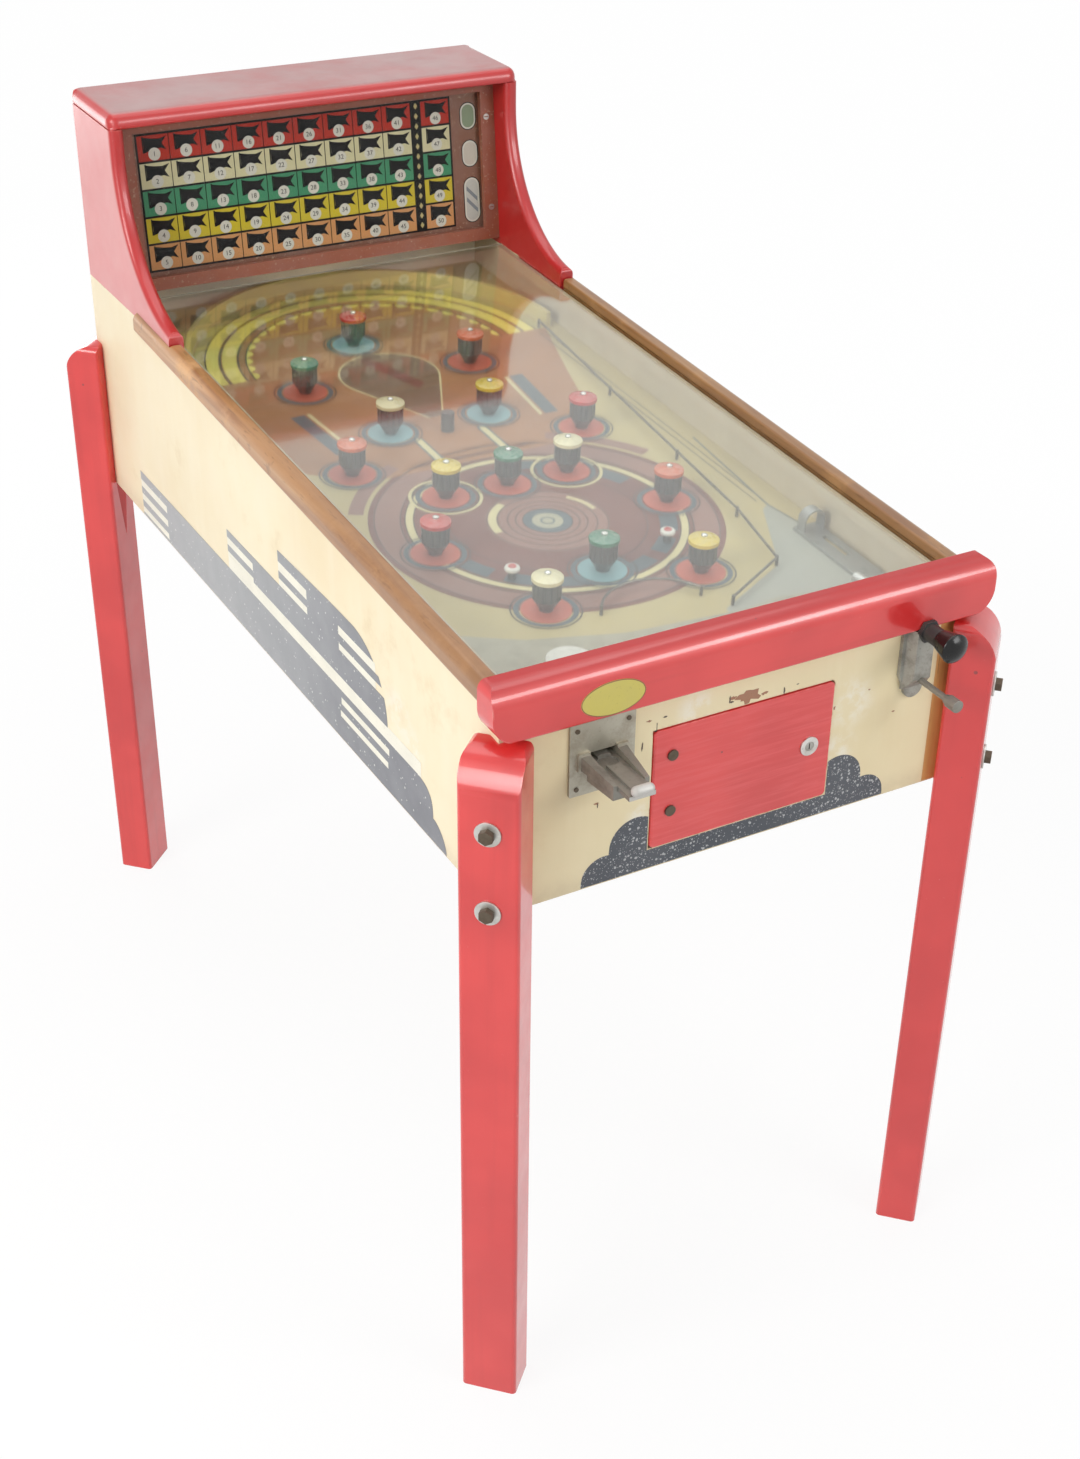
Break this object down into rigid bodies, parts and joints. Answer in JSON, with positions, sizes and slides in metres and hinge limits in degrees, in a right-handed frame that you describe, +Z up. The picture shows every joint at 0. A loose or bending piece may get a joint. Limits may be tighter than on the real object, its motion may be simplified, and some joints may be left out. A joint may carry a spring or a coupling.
{
  "type": "coin-operated pinball table",
  "caption": "Bumper pinball table on corner legs, with a coin slide, spring plunger, ball lifter, hinged coin door and a lit score box.",
  "frame": {"origin": "floor level, at the centre of the footprint", "axes": "+Z up, +X to the player's right, -Y towards the player"},
  "size_m": [0.6474, 1.2732, 1.1695],
  "materials": {
    "cream_paint": "painted board, satin",
    "red_paint": "painted hardwood, worn satin",
    "varnish": "varnished hardwood",
    "bare_wood": "bare softwood",
    "field_paint": "painted and lacquered board",
    "clear_glass": "clear sheet glass",
    "score_print": "glass printed on its back",
    "frame_brown": "stained strip",
    "lamp_glass": "small clear lamps in brass sockets",
    "steel": "worn bare steel",
    "dark_steel": "blackened steel",
    "nickel": "worn nickel plate",
    "cast_grey": "painted grey casting",
    "red_metal": "enamelled steel sheet",
    "black_plastic": "polished black plastic",
    "bumper_dark": "dark moulded plastic",
    "cap_red": "glossy moulded plastic",
    "cap_green": "glossy moulded plastic",
    "cap_yellow": "glossy moulded plastic",
    "cap_cream": "glossy moulded plastic",
    "cap_orange": "glossy moulded plastic",
    "disc_red": "painted disc",
    "disc_blue": "painted disc",
    "arch_yellow": "painted strip",
    "brass": "dull brass",
    "white_rubber": "white rubber and wood pegs"
  },
  "bodies": {
    "cabinet": {"left_side_board": "cream_paint", "right_side_board": "cream_paint", "front_board": "cream_paint", "rear_board": "cream_paint", "glass_cleats": "cream_paint", "bottom_board": "bare_wood", "corner_blocks": "bare_wood", "playfield_cleats": "bare_wood", "lamp_board": "bare_wood", "front_rail": "red_paint", "left_cheek": "red_paint", "right_cheek": "red_paint", "backbox_top": "red_paint", "leg_front_left": "red_paint", "leg_front_right": "red_paint", "leg_rear_left": "red_paint", "leg_rear_right": "red_paint", "left_rail": "varnish", "right_rail": "varnish", "playfield_glass": "clear_glass", "score_glass": "score_print", "score_frame": "frame_brown", "lamps": "lamp_glass", "door_pins": "steel", "leg_washers_and_nuts": "steel", "cash_box": "steel", "relay_bank": "steel", "plunger_spring": "steel", "guide_wires": "steel", "bumper_pins": "nickel", "ball_lift": "nickel", "leg_bolts": "dark_steel", "transformer": "dark_steel", "shooter_housing": "cast_grey", "coin_plate": "cast_grey", "apron": "cast_grey", "playfield_board": "field_paint", "field_back_board": "field_paint", "top_arch": "arch_yellow", "bumper_bases_red": "disc_red", "bumper_bases_blue": "disc_blue", "bumper_bodies": "bumper_dark", "bumper_caps_red": "cap_red", "bumper_caps_green": "cap_green", "bumper_caps_yellow": "cap_yellow", "bumper_caps_cream": "cap_cream", "bumper_caps_orange": "cap_orange", "field_posts": "white_rubber", "tilt_bracket": "brass"},
    "plunger": {"plunger_rod": "nickel", "plunger_knob": "black_plastic"},
    "lifter": {"lifter_rod": "nickel"},
    "coin_slide": {"coin_slide": "nickel"},
    "coin_door": {"coin_door": "red_metal", "coin_lock_barrel": "nickel"},
    "coin_lock": {"coin_lock_plug": "nickel"},
    "back_door": {"back_door": "red_paint", "back_lock_barrel": "nickel"},
    "back_lock": {"back_lock_plug": "nickel"},
    "tilt_bob": {"tilt_bob": "brass"}
  },
  "joints": [
    {"name": "plunger_pull", "type": "slide", "parent": "cabinet", "child": "plunger", "axis": [0, -1, 0], "range_m": [0, 0.045], "stiffness_N_per_m": 300, "springref_m": -0.02, "deforming": ["plunger_spring"]},
    {"name": "lifter_push", "type": "slide", "parent": "cabinet", "child": "lifter", "axis": [0, 1, 0], "range_m": [0, 0.03], "stiffness_N_per_m": 100, "springref_m": -0.01},
    {"name": "coin_push", "type": "slide", "parent": "cabinet", "child": "coin_slide", "axis": [0, 1, 0], "range_m": [0, 0.052], "stiffness_N_per_m": 80, "springref_m": -0.01},
    {"name": "coin_door_swing", "type": "hinge", "parent": "cabinet", "child": "coin_door", "pos_m": [-0.105, -0.55112, 0.7345], "axis": [0, 0, -1], "range_deg": [0, 95]},
    {"name": "coin_lock_turn", "type": "hinge", "parent": "coin_door", "child": "coin_lock", "pos_m": [0.0815, -0.55262, 0.7335], "axis": [0, -1, 0], "range_deg": [0, 90]},
    {"name": "back_door_swing", "type": "hinge", "parent": "cabinet", "child": "back_door", "pos_m": [-0.253, 0.58638, 1.04], "axis": [0, 0, 1], "range_deg": [0, 95]},
    {"name": "back_lock_turn", "type": "hinge", "parent": "back_door", "child": "back_lock", "pos_m": [0.2205, 0.58738, 1.04], "axis": [0, -1, 0], "range_deg": [0, 90]},
    {"name": "tilt_swing", "type": "hinge", "parent": "cabinet", "child": "tilt_bob", "pos_m": [-0.2305, -0.22262, 0.766], "axis": [1, 0, 0], "range_deg": [-5, 5]}
  ]
}
